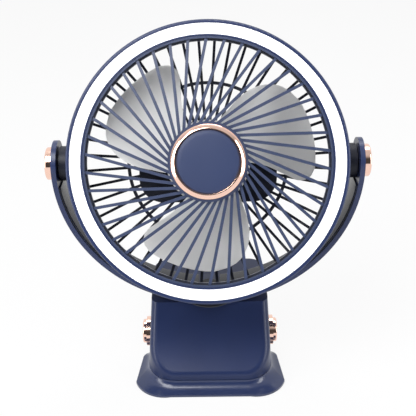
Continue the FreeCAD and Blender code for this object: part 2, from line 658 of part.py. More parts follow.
def swivel():
    top, r = size("pivot_height"), size("yoke_radius")
    low = top - r - size("saddle_drop")
    saddle = Part.makeCylinder(size("saddle_radius"), 12, V(0, 0, low), V(0, 0, 1))
    saddle = saddle.cut(Part.makeCylinder(r, 80, V(0, -40, top), V(0, 1, 0)))
    saddle = saddle.cut(Part.makeCylinder(size("bolt_radius"), 40, V(0, 0, low - 5), V(0, 0, 1)))
    saddle = saddle.common(Part.makeBox(60, size("yoke_width"), 40, V(-30, -size("yoke_width") / 2, low)))
    keep("swivel_saddle", made("saddle", saddle))

    inner = top - math.sqrt((r - size("yoke_thick")) ** 2 - size("bolt_head_radius") ** 2)
    jaw_top = low - size("swivel_washer_thick")
    end = jaw_top - size("jaw_wall") - size("nut_thick") - 1.0
    bolt = Part.makeCylinder(size("bolt_radius"), inner - end, V(0, 0, end), V(0, 0, 1))
    head = Part.makeCylinder(size("bolt_head_radius"), size("bolt_head_thick"), V(0, 0, inner), V(0, 0, 1))
    head = filleted(head, 0.8, at_level("Z", inner + size("bolt_head_thick")))
    keep("swivel_bolt", made("bolt", bolt.fuse(head)))

    nut = Part.makeCylinder(size("nut_radius"), size("nut_thick"),
                            V(0, 0, jaw_top - size("jaw_wall") - size("nut_thick")), V(0, 0, 1))
    keep("swivel_nut", made("lock_nut", nut.cut(bolt)))
    washer = Part.makeCylinder(size("swivel_washer_radius"), size("swivel_washer_thick"),
                               V(0, 0, jaw_top), V(0, 0, 1))
    washer = washer.cut(Part.makeCylinder(size("bolt_radius") + size("running_fit"), 40,
                                          V(0, 0, jaw_top - 5), V(0, 0, 1)))
    keep("swivel_washer", made("thrust_washer", washer))


def jaw_top_level():
    return size("pivot_height") - size("yoke_radius") - size("saddle_drop") - size("swivel_washer_thick")


# Upper jaw of the clamp

def plan_wire(half, front, back, front_corner, back_corner, z, side_corner_y=None, taper=0.0):
    """A rounded outline seen from above, symmetric about X = 0, narrower by taper at its back."""
    cx, cy = front_corner, side_corner_y or front_corner
    b, rear = back_corner, half - taper
    k = 1 - math.sqrt(0.5)

    def half_points(s):
        return ((V(s * (half - cx), front, z), V(s * (half - k * cx), front + k * cy, z),
                 V(s * half, front + cy, z)),
                (V(s * rear, back - b, z), V(s * (rear - k * b), back - k * b, z),
                 V(s * (rear - b), back, z)))
    (ra, rb, rc), (rd, re_, rf) = half_points(1)
    (la, lb, lc), (ld, le, lf) = half_points(-1)
    return Part.Wire([line(la, ra), arc(ra, rb, rc), line(rc, rd), arc(rd, re_, rf),
                      line(rf, lf), arc(lf, le, ld), line(ld, lc), arc(lc, lb, la)])


def jaw_block(inset, top):
    low, front, back = size("jaw_bottom") + inset, size("jaw_front") + inset, size("jaw_back") - inset
    wires = []
    for half, z in ((size("jaw_half_low"), low), (size("jaw_half_top"), top)):
        wires.append(plan_wire(half - inset, front, back, size("jaw_corner") - inset,
                               size("jaw_back_corner") - inset, z))
    shape = Part.makeLoft(wires, True, True)
    lip, shelf = size("lip_top") - inset, size("jaw_front") + inset
    a, b = V(-90, shelf, lip), V(-90, size("face_top") + inset, top + 0.01)
    m = V(-90, size("face_mid_y") + inset, size("face_mid_z"))
    face = Part.Face(Part.Wire([
        line(V(-90, shelf - 30, lip), a), arc(a, m, b),
        line(b, V(-90, shelf - 30, top + 0.01)),
        line(V(-90, shelf - 30, top + 0.01), V(-90, shelf - 30, lip))]))
    return shape.cut(face.extrude(V(180, 0, 0)))


def hinge_relief(grow=0.0):
    """What is taken off behind the hinge so that the jaw can open."""
    y, z, r = size("hinge_y"), size("hinge_z"), size("hinge_wrap") + grow
    slope = math.radians(size("handle_slope"))
    low = V(-90, y, z - r)
    touch = V(-90, y + r * math.sin(slope), z - r * math.cos(slope))
    mid = V(-90, y + r * math.sin(slope / 2), z - r * math.cos(slope / 2))
    run = 70.0
    far = touch + V(0, run * math.cos(slope), run * math.sin(slope))
    return Part.Face(Part.Wire([
        arc(low, mid, touch), line(touch, far), line(far, V(-90, far.y, -20)),
        line(V(-90, far.y, -20), V(-90, y, -20)), line(V(-90, y, -20), low)])).extrude(V(180, 0, 0))


def clamp_hinge_rod(radius, half_length, x=0.0):
    return Part.makeCylinder(radius, 2 * half_length, V(x - half_length, size("hinge_y"), size("hinge_z")),
                             V(1, 0, 0))


def jaw_cavity():
    """The hollow of the upper jaw, one wall inside all of its faces."""
    wall = size("jaw_wall")
    return jaw_block(wall, jaw_top_level() - wall).cut(hinge_relief(-wall))


def lug_slots():
    """Room for the two ears of the foot over the whole swing of the jaw."""
    y, z, r, play = size("hinge_y"), size("hinge_z"), size("lug_radius"), size("gap") + 0.2
    slots = []
    for x in (size("lug_x") - play, -size("lug_x") - size("lug_thick") - play):
        width = size("lug_thick") + 2 * play
        slots.append(Part.makeBox(width, 2 * r + 7, z - size("jaw_bottom") + 2,
                                  V(x, y - r - play, size("jaw_bottom") - 2)))
        slots.append(Part.makeCylinder(r + play, width, V(x, y, z), V(1, 0, 0)))
    return slots[0].fuse(slots[1:])


def upper_jaw():
    top, wall = jaw_top_level(), size("jaw_wall")
    outer = jaw_block(0, top)
    face_edges = [e for e in outer.Edges
                  if e.BoundBox.ZMin > size("lip_top") - 0.1 and e.BoundBox.ZLength > 15
                  and e.BoundBox.YMax < size("face_top") + 1.0]
    outer = outer.makeFillet(size("face_round"), face_edges) if face_edges else outer
    shell = outer.cut(hinge_relief()).cut(jaw_cavity()).cut(lug_slots())
    shell = shell.cut(clamp_hinge_rod(size("hinge_pin") + size("running_fit"), 60))
    shell = shell.cut(Part.makeCylinder(size("bolt_radius") + size("running_fit"), 20,
                                        V(0, 0, top - 10), V(0, 0, 1)))
    port_z = top - 9.0
    port = Part.makeBox(size("port_width"), 12, size("port_height"),
                        V(-size("port_width") / 2, size("jaw_back") - 8, port_z))
    shell = shell.cut(port)
    shell = shell.cut(pad_block(0))
    keep("upper_jaw", made("jaw_shell", shell))
    return port_z


def pad_block(shrink):
    y0 = size("jaw_front") + 3.0
    return Part.makeBox(60 - 2 * shrink, 7.0 - 2 * shrink, size("pad_thick"),
                        V(-30 + shrink, y0 + shrink, size("jaw_bottom")))


def jaw_inside(port_z):
    wall, floor = size("jaw_wall"), jaw_top_level() - size("bay_drop")
    thick = size("floor_thick")
    plate = jaw_cavity().common(Part.makeBox(120, 120, thick, V(-60, -60, floor)))
    keep("battery_floor", made("bay_floor_plate", plate))
    keep("jaw_pad", made("grip_pad", pad_block(0.1)))

    deck = floor + thick
    cells = []
    r, length, shell = size("cell_radius"), size("cell_length"), size("holder_wall")
    level = deck + shell + r
    for i in range(2):
        y = size("cell_y") + i * size("cell_pitch")
        cells.append(Part.makeCylinder(r, length, V(-length / 2, y, level), V(1, 0, 0)))
    tray = Part.makeBox(length + 4, size("cell_pitch") + 2 * r + 2, shell + r - 2,
                        V(-length / 2 - 2, size("cell_y") - r - 1, deck))
    tray = tray.cut(Part.makeCompound(cells)).cut(hinge_relief(-wall))
    keep("battery_cells", made("cells", Part.makeCompound(cells)))
    keep("cell_tray", made("tray", tray))

    board = Part.makeBox(44, 16, 1.6, V(-22, size("cell_y") - r - 19, deck))
    keep("charge_board", made("charger", board))
    back, width, height = size("jaw_back"), size("port_width"), size("port_height")
    port = Part.makeBox(width, 5.0, height, V(-width / 2, back - 5.0, port_z))
    slot = Part.makeBox(width - 1.2, 4.0, height - 1.2, V(-width / 2 + 0.6, back - 4.0, port_z + 0.6))
    keep("charge_port", made("port", port.cut(slot)))


# Clamp hinge: pin, caps and two coil springs

def clamp_hinge():
    half = size("jaw_half_low")
    y, z = size("hinge_y"), size("hinge_z")
    keep("clamp_pin", made("pin", clamp_hinge_rod(size("hinge_pin"), half + 1.0)))
    for side, tag in ((-1, "left"), (1, "right")):
        r = size("clamp_cap_radius")
        cap = Part.makeCylinder(r, 0.5 * size("clamp_cap_thick"), V(side * half, y, z), V(side, 0, 0))
        knob = Part.makeCylinder(r - 2.2, size("clamp_cap_thick"), V(side * half, y, z), V(side, 0, 0))
        knob = filleted(knob, 1.0, at_level("X", side * (half + size("clamp_cap_thick"))))
        cap = cap.fuse(knob)
        cap = cap.cut(clamp_hinge_rod(size("hinge_pin"), half + 1.0))
        cap = cap.cut(jaw_block(0, jaw_top_level()))
        keep("clamp_cap_" + tag, made("hinge_cap_" + tag, cap))

    coils = []
    pitch, turns, wire = size("spring_pitch"), size("spring_turns"), size("wire_radius")
    for side in (-1, 1):
        path = Part.makeHelix(pitch, pitch * turns, size("spring_radius"))
        profile = Part.Wire([Part.makeCircle(wire, V(size("spring_radius"), 0, 0), V(0, 1, 0))])
        coil = Part.Wire(path.Edges).makePipeShell([profile], True, True)
        coil.rotate(V(0, 0, 0), V(0, 1, 0), 90)
        start = size("spring_x") if side > 0 else -size("spring_x") - pitch * turns
        coil.translate(V(start, y, z))
        coils.append(coil)
    keep("clamp_springs", made("springs", Part.makeCompound(coils)))


# Foot: the lower jaw, a flared plate that stands on one rubber sole

def foot():
    lift, rim, deck = size("foot_lift"), size("foot_rim"), size("foot_deck")
    front, back = size("foot_front"), size("foot_flare_back")

    def outline(share, z):
        """share 0 is the rim, 1 is the edge under the upper jaw."""
        half = size("foot_half_front") + share * (size("jaw_half_low") - size("foot_half_front"))
        y0 = front + share * (size("jaw_front") - front)
        y1 = back + share * -2.0
        cx = size("foot_corner_x") + share * (size("jaw_corner") - size("foot_corner_x"))
        cy = size("foot_corner_y") + share * (size("jaw_corner") - size("foot_corner_y"))
        taper = (1 - share) * (size("foot_half_front") - size("foot_half_back"))
        return plan_wire(half, y0, y1, cx, 7.0 - 3 * share, z, cy, taper)
    skirt = Part.makeLoft([outline(0, lift), outline(0, rim)], True, True)
    cove = Part.makeLoft([outline(0, rim), outline(0.55, rim + 1.6), outline(0.88, rim + 3.8),
                          outline(1, deck)], True, False)
    plate = Part.Face(plan_wire(size("deck_half"), -30, size("deck_back"), 10, 14, lift)).extrude(
        V(0, 0, deck - lift))
    body = skirt.fuse([cove, plate])
    lugs = []
    y, z, r = size("hinge_y"), size("hinge_z"), size("lug_radius")
    for x in (size("lug_x"), -size("lug_x") - size("lug_thick")):
        web = Part.makeBox(size("lug_thick"), 2 * r, z - deck + 1, V(x, y - r, deck - 1))
        eye = Part.makeCylinder(r, size("lug_thick"), V(x, y, z), V(1, 0, 0))
        lugs.extend([web, eye])
    body = body.fuse(lugs)
    body = body.cut(clamp_hinge_rod(size("hinge_pin") + size("running_fit"), 60))
    half = size("cavity_half")
    sole_top, cover = size("sole_thick"), size("cover_thick")
    depth = size("cavity_back") - size("cavity_front")
    cavity = Part.makeBox(2 * half, depth, size("cavity_top") - sole_top,
                          V(-half, size("cavity_front"), sole_top))
    sole = Part.Face(plan_wire(size("sole_half"), size("sole_front"), size("sole_back"),
                               size("sole_corner"), size("sole_corner"), 0)).extrude(V(0, 0, sole_top))
    keep("foot", made("lower_jaw", body.cut(cavity).cut(sole)))
    keep("foot_sole", made("sole", sole))
    plate = Part.makeBox(2 * half - 0.2, depth - 0.2, cover,
                         V(-half + 0.1, size("cavity_front") + 0.1, sole_top))
    keep("foot_cover", made("bottom_cover", plate))
    ballast = Part.makeBox(2 * half - 8, depth - 8, size("cavity_top") - sole_top - cover,
                           V(-half + 4, size("cavity_front") + 4, sole_top + cover))
    keep("ballast_plate", made("ballast", ballast))


light_ring()
front_grille()
rear_grille()
rear_pod()
motor()
impeller()
yoke()
swivel()
port_level = upper_jaw()
jaw_inside(port_level)
clamp_hinge()
foot()
doc.recompute()

for thing in doc.Objects:
    if "Invalid" in thing.State or "Error" in thing.State:
        raise RuntimeError("failed: " + thing.Name)
for thing in nodes:
    if thing.Shape.isNull() or not thing.Shape.isValid():
        raise RuntimeError("bad shape: " + thing.Label)

os.makedirs("parts", exist_ok=True)
for thing in nodes:
    thing.Shape.exportStep("parts/" + thing.Label + ".step")
    print(thing.Label, len(thing.Shape.Solids), round(thing.Shape.Volume, 1))
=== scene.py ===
import json
import math

import bmesh
import bpy
from mathutils import Matrix, Vector

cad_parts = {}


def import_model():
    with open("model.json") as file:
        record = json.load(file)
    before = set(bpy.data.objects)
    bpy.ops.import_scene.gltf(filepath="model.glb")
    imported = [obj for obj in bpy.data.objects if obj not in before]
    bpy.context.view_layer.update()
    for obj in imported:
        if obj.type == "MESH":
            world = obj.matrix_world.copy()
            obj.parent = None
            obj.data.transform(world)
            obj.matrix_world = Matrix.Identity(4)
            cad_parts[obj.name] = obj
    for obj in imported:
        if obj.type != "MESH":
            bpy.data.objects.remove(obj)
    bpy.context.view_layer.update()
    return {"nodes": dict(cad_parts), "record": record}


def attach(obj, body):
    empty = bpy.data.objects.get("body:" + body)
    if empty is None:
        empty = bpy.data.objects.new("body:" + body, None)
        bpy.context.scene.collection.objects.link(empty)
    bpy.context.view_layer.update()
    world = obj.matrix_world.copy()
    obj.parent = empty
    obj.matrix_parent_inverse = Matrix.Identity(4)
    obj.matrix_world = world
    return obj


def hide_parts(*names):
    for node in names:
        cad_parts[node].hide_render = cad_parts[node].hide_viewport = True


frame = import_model()
NODES = frame["nodes"]

# The head turns about an axis through PIVOT, in metres, and leans back by LEAN at rest
PIVOT = Vector((0.0, 0.0, 0.165))
LEAN = math.radians(25.0)
HEAD = Matrix.Translation(PIVOT) @ Matrix.Rotation(-LEAN, 4, "X")
# Places whose local Z runs out of the head's front, or out of its back
FORWARD = HEAD @ Matrix.Rotation(math.radians(90), 4, "X")
BACKWARD = HEAD @ Matrix.Rotation(math.radians(-90), 4, "X")
MM = 0.001

NAVY = (0.019, 0.031, 0.092)
DEEP_NAVY = (0.008, 0.010, 0.022)
WHITE = (0.77, 0.77, 0.765)
ROSE = (0.93, 0.63, 0.52)


# Shader nodes

def node(tree, kind, **values):
    """Adds a node and sets its inputs or its own properties by name."""
    made = tree.nodes.new(kind)
    for key, value in values.items():
        if key in made.inputs.keys():
            made.inputs[key].default_value = value
        else:
            setattr(made, key, value)
    return made


def feed(tree, slot, value):
    """Links another node's output to an input, or sets the input to a plain value."""
    if isinstance(value, bpy.types.NodeSocket):
        tree.links.new(value, slot)
    else:
        slot.default_value = value


def mixed(tree, kind, factor, first, second):
    """First where the factor is 0 and second where it is 1."""
    made = node(tree, "ShaderNodeMix", data_type=kind)
    for name, value in (("Factor", factor), ("A", first), ("B", second)):
        feed(tree, made.inputs[name], value)
    return made.outputs["Result"]


def maths(tree, operation, first, second):
    made = node(tree, "ShaderNodeMath", operation=operation)
    feed(tree, made.inputs[0], first)
    feed(tree, made.inputs[1], second)
    return made.outputs["Value"]


def ranged(tree, value, source, target=(0.0, 1.0), **settings):
    """Maps a value from the source range to the target range."""
    made = node(tree, "ShaderNodeMapRange", **settings)
    for name, limit in zip(("From Min", "From Max", "To Min", "To Max"), source + target):
        made.inputs[name].default_value = limit
    tree.links.new(value, made.inputs["Value"])
    return made.outputs["Result"]


def seen_by(tree, *kinds):
    """1 for the named kinds of ray and 0 for the others."""
    rays = node(tree, "ShaderNodeLightPath")
    total = rays.outputs[kinds[0]]
    for kind in kinds[1:]:
        total = maths(tree, "MAXIMUM", total, rays.outputs[kind])
    return total


# Materials

# The part of a noise's values that is used, and the scales of the colour drift and handling marks
NOISE_RANGE = (0.15, 0.85)
NOISE_DETAIL, NOISE_ROUGHNESS = 1.5, 0.55
DRIFT_SCALE, MARKS_SCALE = 28.0, 70.0
# The pointiness over which an edge begins to look worn, and how much paler it gets
WORN_EDGE = (0.54, 0.66)
WORN_SCALE, WORN_LIFT = 1.4, 0.05
# Depth of the moulded grain in metres
GRAIN_DEPTH, GRAIN_DETAIL = 0.0004, 2.0
LEAST_ROUGHNESS, COAT_ROUGHNESS = 0.02, 0.15


def spread(tree, coords, scale, low, high):
    """A noise that runs from low to high over the surface."""
    noise = node(tree, "ShaderNodeTexNoise", Scale=scale, Detail=NOISE_DETAIL,
                 Roughness=NOISE_ROUGHNESS)
    tree.links.new(coords, noise.inputs["Vector"])
    return ranged(tree, noise.outputs["Fac"], NOISE_RANGE, (low, high))


def shade(colour, scale, lift=0.0):
    """The colour made brighter or darker, as a node's four numbers."""
    return tuple(min(1.0, c * scale + lift) for c in colour) + (1.0,)


def finish_material(name, colour, rough=0.4, vary=0.10, rough_vary=0.05, grain=900.0, bump=0.04,
                    metallic=0.0, coat=0.0, specular=0.5, worn=0.12, glow=0.0):
    """Colour drift, handling marks in the roughness, a fine moulded grain and paler worn edges."""
    material = bpy.data.materials.new(name)
    material.use_nodes = True
    tree = material.node_tree
    shader = tree.nodes["Principled BSDF"]
    coords = node(tree, "ShaderNodeTexCoord").outputs["Object"]

    drift = mixed(tree, "RGBA", spread(tree, coords, DRIFT_SCALE, 0.0, 1.0),
                  shade(colour, 1 - vary), shade(colour, 1 + vary))
    pointiness = node(tree, "ShaderNodeNewGeometry").outputs["Pointiness"]
    wear = ranged(tree, pointiness, WORN_EDGE, (0.0, worn))
    skin = mixed(tree, "RGBA", wear, drift, shade(colour, WORN_SCALE, WORN_LIFT))
    tree.links.new(skin, shader.inputs["Base Color"])

    low, high = max(LEAST_ROUGHNESS, rough - rough_vary), min(1.0, rough + rough_vary)
    tree.links.new(spread(tree, coords, MARKS_SCALE, low, high), shader.inputs["Roughness"])
    fine = node(tree, "ShaderNodeTexNoise", Scale=grain, Detail=GRAIN_DETAIL)
    tree.links.new(coords, fine.inputs["Vector"])
    relief = node(tree, "ShaderNodeBump", Strength=bump, Distance=GRAIN_DEPTH)
    tree.links.new(fine.outputs["Fac"], relief.inputs["Height"])
    tree.links.new(relief.outputs["Normal"], shader.inputs["Normal"])

    shader.inputs["Metallic"].default_value = metallic
    shader.inputs["Specular IOR Level"].default_value = specular
    shader.inputs["Coat Weight"].default_value = coat
    shader.inputs["Coat Roughness"].default_value = COAT_ROUGHNESS
    if glow:
        tree.links.new(skin, shader.inputs["Emission Color"])
        shader.inputs["Emission Strength"].default_value = glow
    return material


def metal(name, colour, rough):
    """Bare or plated metal with a faint grain."""
    return finish_material(name, colour, rough, vary=0.05, grain=300.0, bump=0.015, metallic=1.0,
                           worn=0.05)


LOOKS = {
    "navy_shell": dict(colour=NAVY, rough=0.31, rough_vary=0.03, specular=0.40, bump=0.02),
    "navy_grille": dict(colour=(0.036, 0.050, 0.105), rough=0.40, specular=0.4, bump=0.03),
    "dark_plastic": dict(colour=DEEP_NAVY, rough=0.46, specular=0.3, bump=0.05),
    "white_plastic": dict(colour=WHITE, rough=0.38, vary=0.03, worn=0.04),
    "diffuser": dict(colour=(0.96, 0.96, 0.97), rough=0.5, vary=0.015, worn=0.0, glow=0.62),
    "led_chip": dict(colour=(0.93, 0.84, 0.42), rough=0.35, worn=0.0, glow=0.4),
    "circuit_board": dict(colour=(0.03, 0.16, 0.08), rough=0.35, vary=0.3, bump=0.1),
    "magnet": dict(colour=(0.05, 0.05, 0.055), rough=0.6, bump=0.1),
    "black_nylon": dict(colour=(0.02, 0.021, 0.026), rough=0.45, vary=0.2),
    "rubber": dict(colour=(0.022, 0.022, 0.025), rough=0.78, vary=0.25, bump=0.2, grain=1500.0),
    "cell_wrap": dict(colour=(0.05, 0.20, 0.42), rough=0.34, coat=0.4),
    "button_plastic": dict(colour=(0.085, 0.105, 0.19), rough=0.34, coat=0.2),
}
METALS = {
    "rose_gold": (ROSE, 0.10),
    "steel": ((0.58, 0.59, 0.61), 0.34),
    "spring_steel": ((0.38, 0.39, 0.41), 0.34),
    "copper": ((0.70, 0.34, 0.18), 0.34),
}
FINISH = {slot: finish_material(slot + "_finish", **look) for slot, look in LOOKS.items()}
FINISH.update({slot: metal(slot + "_finish", *look) for slot, look in METALS.items()})
SLOT_OF = {p["node"]: p["material_slot"] for p in frame["record"]["subparts"]}


def dress(obj, slot):
    obj.data.materials.clear()
    obj.data.materials.append(FINISH[slot])


for name, obj in NODES.items():
    dress(obj, SLOT_OF[name])

# The clamp's body is a darker copy of the head's navy, which is painted shade from the head above it
NODES["upper_jaw"].data.materials[0] = finish_material(
    "jaw_shell", (0.014, 0.024, 0.076), 0.31, rough_vary=0.03, specular=0.32, bump=0.02)

# The foot's flares are the glossiest faces
NODES["foot"].data.materials[0] = finish_material(
    "foot_shell", (0.016, 0.027, 0.082), 0.31, rough_vary=0.03, specular=0.35, coat=0.6, bump=0.02)

# The bolt through the hoop is blackened
NODES["swivel_bolt"].data.materials[0] = finish_material(
    "black_steel", (0.012, 0.013, 0.018), 0.42, specular=0.35, bump=0.03)

# Inner radius and front of the grille's rim in the upright head, in metres
RIM_RADIUS, RIM_FRONT = 0.0823, -0.022
# The shade sets in over these two stretches, just inside the radius and just behind the front
WALL_FADE = (RIM_RADIUS - 0.0008, RIM_RADIUS - 0.0002)
FRONT_FADE = (RIM_FRONT + 0.0004, RIM_FRONT + 0.0020)
SHADED_COLOUR, SHADED_ROUGHNESS = (0.010, 0.015, 0.036, 1.0), 0.95


def shade_inner_wall(material):
    """Makes the rim's inner wall dull and dark behind its front edge, where no light comes in."""
    tree = material.node_tree
    shader = tree.nodes["Principled BSDF"]
    upright = node(tree, "ShaderNodeMapping")
    upright.inputs["Rotation"].default_value = (LEAN, 0.0, 0.0)
    upright.inputs["Location"].default_value = -(Matrix.Rotation(LEAN, 4, "X") @ PIVOT)
    tree.links.new(node(tree, "ShaderNodeTexCoord").outputs["Object"], upright.inputs["Vector"])
    axes = node(tree, "ShaderNodeSeparateXYZ")
    tree.links.new(upright.outputs["Vector"], axes.inputs["Vector"])
    flat = node(tree, "ShaderNodeCombineXYZ")
    for axis in "XZ":
        tree.links.new(axes.outputs[axis], flat.inputs[axis])
    reach = node(tree, "ShaderNodeVectorMath", operation="LENGTH")
    tree.links.new(flat.outputs["Vector"], reach.inputs[0])

    at_rim = ranged(tree, reach.outputs["Value"], WALL_FADE)
    behind = ranged(tree, axes.outputs["Y"], FRONT_FADE)
    mask = maths(tree, "MULTIPLY", at_rim, behind)
    for name, kind, value in (("Base Color", "RGBA", SHADED_COLOUR),
                              ("Roughness", "FLOAT", SHADED_ROUGHNESS)):
        slot = shader.inputs[name]
        tree.links.new(mixed(tree, kind, mask, slot.links[0].from_socket, value), slot)


shade_inner_wall(FINISH["navy_grille"])


# Making pieces

SMOOTH_ANGLE = math.radians(40.0)


def mesh_object(name, bm, slot, body):
    """Makes a piece that rides on a body, smooth but for edges sharper than SMOOTH_ANGLE."""
    mesh = bpy.data.meshes.new(name)
    bmesh.ops.recalc_face_normals(bm, faces=bm.faces)
    bm.to_mesh(mesh)
    bm.free()
    for polygon in mesh.polygons:
        polygon.use_smooth = True
    mesh.set_sharp_from_angle(angle=SMOOTH_ANGLE)
    obj = bpy.data.objects.new(name, mesh)
    bpy.context.scene.collection.objects.link(obj)
    dress(obj, slot)
    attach(obj, body)
    return obj


def bridge(bm, one, two):
    """Joins two closed rings of points with a band of faces."""
    for i in range(len(one)):
        j = (i + 1) % len(one)
        bm.faces.new((one[i], one[j], two[j], two[i]))


def lathe(profile, place, steps=128, ring_shaped=False):
    """Turns (radius, height) points, in mm, round the local Z axis, closed as a disc or as a ring."""
    bm = bmesh.new()
    rings = []
    for radius, height in profile:
        ring = []
        for i in range(steps):
            a = 2 * math.pi * i / steps
            spot = Vector((radius * math.cos(a), radius * math.sin(a), height)) * MM
            ring.append(bm.verts.new(place @ spot))
        rings.append(ring)
    for low, high in zip(rings, rings[1:]):
        bridge(bm, low, high)
    if ring_shaped:
        bridge(bm, rings[-1], rings[0])
    else:
        bm.faces.new(rings[0])
        bm.faces.new(rings[-1])
    return bm


# Impeller: cambered paddles that thin towards their edges, on a domed hub. All in mm.

# Radius and angle in degrees along the two edges of a paddle
LEADING = [(27.0, -31.0), (41.7, -35.0), (52.8, -39.4), (63.9, -42.4), (68.5, -42.0),
           (72.0, -40.5), (74.5, -38.0), (76.0, -34.0)]
TRAILING = [(27.0, 46.0), (38.2, 38.0), (46.5, 34.4), (55.5, 30.0), (62.5, 25.5), (69.4, 19.4),
            (73.0, 14.0), (75.5, 7.0), (76.0, 3.0)]
PADDLES, FIRST_PADDLE = 3, 150
PADDLE_ROOT, PADDLE_TIP = 27.0, 76.2
PADDLE_MIDDLE = 1.5
# Pitch in degrees at PITCH_START from the axis, and how much it falls over PITCH_RUN
PITCH_ROOT, PITCH_FALL = 24.0, 10.0
PITCH_START, PITCH_RUN = 22.6, 62.2
CAMBER, CAMBER_START, CAMBER_RUN = 1.6, 20, 40
HALF_THICK = 0.95
# Share of the thickness left at the side edges, how fast it fills out, and the share at the tip
EDGE_SHARE, EDGE_SWELL, TIP_SHARE = 0.28, 2.6, 0.35
ROWS, COLUMNS = 26, 30


def edge_angle(points, r):
    """The angle of a paddle's edge at one radius."""
    for (r0, a0), (r1, a1) in zip(points, points[1:]):
        if r <= r1:
            return a0 + (a1 - a0) * max(0.0, (r - r0) / (r1 - r0))
    return points[-1][1]


def paddle_spot(i, j, face, turn):
    """Point i, j of the grid over a paddle, on its front where face is 1 and its back where it is -1."""
    r = PADDLE_ROOT + (PADDLE_TIP - PADDLE_ROOT) * i / ROWS
    t = j / COLUMNS
    lead, trail = edge_angle(LEADING, r), edge_angle(TRAILING, r)
    angle = math.radians(lead + (trail - lead) * t)
    across, along = r * math.sin(angle), r * math.cos(angle)
    pitch = PITCH_ROOT - PITCH_FALL * (along - PITCH_START) / PITCH_RUN
    bow = CAMBER * math.sin(math.pi * t) * min(1.0, (r - CAMBER_START) / CAMBER_RUN)
    thin = HALF_THICK * min(1.0, EDGE_SHARE + EDGE_SWELL * math.sqrt(max(0.0, t * (1 - t))))
    if i == ROWS:
        thin *= TIP_SHARE
    y = PADDLE_MIDDLE - across * math.tan(math.radians(pitch)) + bow + face * thin
    a = angle + turn
    return HEAD @ (Vector((r * math.cos(a), y, r * math.sin(a))) * MM)


def paddles():
    """Each paddle is a front and a back grid of faces, joined round their rim."""
    bm = bmesh.new()
    for k in range(PADDLES):
        turn = math.radians(FIRST_PADDLE + 360 * k / PADDLES)
        front, back = [[[bm.verts.new(paddle_spot(i, j, face, turn)) for j in range(COLUMNS + 1)]
                        for i in range(ROWS + 1)] for face in (1, -1)]
        for grid in (front, back):
            for i in range(ROWS):
                for j in range(COLUMNS):
                    bm.faces.new((grid[i][j], grid[i][j + 1], grid[i + 1][j + 1], grid[i + 1][j]))
        rim = [(i, 0) for i in range(ROWS)] + [(ROWS, j) for j in range(COLUMNS)]
        rim += [(i, COLUMNS) for i in range(ROWS, 0, -1)] + [(0, j) for j in range(COLUMNS, 0, -1)]
        for (i, j), (m, n) in zip(rim, rim[1:] + rim[:1]):
            bm.faces.new((front[i][j], front[m][n], back[m][n], back[i][j]))
    return bm


blades = mesh_object("impeller_paddles", paddles(), "white_plastic", "impeller")
# A cup with a low dome for its front, from the dome's middle out and back along the inside
HUB_PROFILE = [(2.0, -15.0), (8.0, -15.9), (20.0, -15.7), (25.2, -15.2), (27.4, -14.0), (28.3, -12.2),
               (28.6, -9.5), (28.6, 12.0), (26.6, 12.0), (26.6, -13.0), (2.0, -13.0), (2.0, -14.9)]
hub = mesh_object("impeller_hub", lathe(HUB_PROFILE, BACKWARD), "white_plastic", "impeller")
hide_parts("impeller")


# Hub cap: a shallow dome with a small step at its edge

CAP_RADIUS, DOME_RADIUS = 21.05, 19.4
DOME_START, DOME_RISE = 29.75, 0.55


def cap_profile():
    edge = [(CAP_RADIUS, 27.7), (CAP_RADIUS, 29.0), (20.7, 29.55), (20.2, DOME_START), (19.6, 29.72)]
    dome = [(DOME_RADIUS * math.cos(math.radians(a)), DOME_START + DOME_RISE * math.sin(math.radians(a)))
            for a in range(10, 90, 10)]
    return edge + dome + [(0.4, DOME_START + DOME_RISE)]


cap = mesh_object("hub_cap_dome", lathe(cap_profile(), FORWARD), "navy_shell", "head")
# The cap's navy is paler than the shell's, which is a painted sheen. Its higher roughness gives it a satin
# finish.
cap.data.materials[0] = finish_material("hub_cap_satin_painted_sheen", (0.026, 0.040, 0.102), 0.42, vary=0.06, worn=0.05)
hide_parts("hub_cap")


# Polished ring round the cap: its face slopes outwards and is a little crowned

TRIM_INNER, TRIM_OUTER, TRIM_BACK, TRIM_FRONT = 21.2, 25.0, 27.6, 30.6
FACE_INNER, FACE_WIDTH, FACE_FALL, FACE_CROWN = 21.8, 2.9, 1.25, 0.45


def trim_profile():
    face = [(FACE_INNER + FACE_WIDTH * t, TRIM_FRONT - FACE_FALL * t - FACE_CROWN * t * t)
            for t in (0, 0.2, 0.4, 0.6, 0.8, 1.0)]
    inner = [(TRIM_INNER, TRIM_BACK), (TRIM_INNER, 30.25), (21.35, 30.48)]
    return inner + face + [(24.95, 28.6), (TRIM_OUTER, 28.2), (TRIM_OUTER, TRIM_BACK)]


trim = mesh_object("hub_trim_bevelled", lathe(trim_profile(), FORWARD, 192, ring_shaped=True),
                   "rose_gold", "head")
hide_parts("hub_trim_ring")


# Liner of the hoop: two bands with rolled edges that stop beside the bolt. Radii round the pivot, in mm.

BAND_OUTER, BAND_INNER, BAND_HALF, BAND_ROLL = 102.65, 101.5, 14.6, 0.9
BAND_SPANS = ((187.0, 265.5), (274.5, 353.0))
BAND_STEPS = 48


